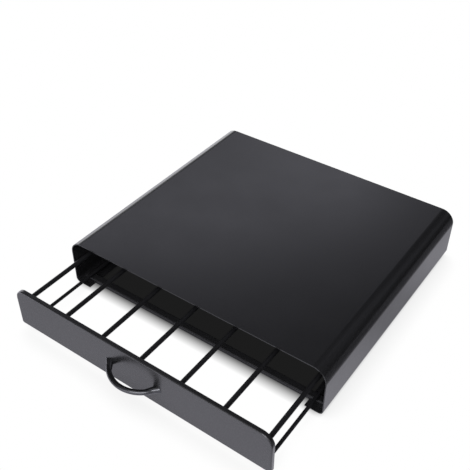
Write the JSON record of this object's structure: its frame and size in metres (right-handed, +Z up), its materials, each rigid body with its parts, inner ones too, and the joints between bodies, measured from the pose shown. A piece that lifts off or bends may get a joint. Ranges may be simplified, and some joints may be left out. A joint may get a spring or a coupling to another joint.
{
  "type": "coffee pod drawer",
  "caption": "Low black steel housing with a sliding wire drawer: pods hang by their rims between parallel rails behind a bow-handled front, and a machine stands on the flat roof.",
  "frame": {"origin": "centre of the footprint, on the plane of the feet's soles, with the drawer standing open as in the picture", "axes": "+X to the right seen from the front, +Y from the drawer front to the back, +Z up"},
  "size_m": [0.365, 0.4472, 0.0695],
  "materials": {
    "housing_coat": "satin black powder coat",
    "front_coat": "satin black powder coat on a flat face",
    "wire_coat": "semi-gloss black powder coat on round wire",
    "handle_coat": "gloss black",
    "rubber": "matte",
    "zinc": "bright zinc plate"
  },
  "bodies": {
    "housing": {"housing_shell": "housing_coat", "back_panel": "housing_coat", "front_sill": "housing_coat", "rear_sill": "housing_coat", "foot_front_left": "rubber", "foot_front_right": "rubber", "foot_rear_left": "rubber", "foot_rear_right": "rubber"},
    "drawer": {"front_panel": "front_coat", "handle": "handle_coat", "handle_screws": "zinc", "rail_1": "wire_coat", "rail_2": "wire_coat", "rail_3": "wire_coat", "rail_4": "wire_coat", "rail_5": "wire_coat", "rail_6": "wire_coat", "rail_7": "wire_coat", "runner_left": "wire_coat", "runner_right": "wire_coat", "rear_lower_wire": "wire_coat", "rear_stop_wire": "wire_coat", "rear_post_left": "wire_coat", "rear_post_right": "wire_coat"}
  },
  "joints": [
    {"name": "drawer_slide", "type": "slide", "parent": "housing", "child": "drawer", "axis": [0, -1, 0], "range_m": [-0.0893, 0.16]}
  ]
}
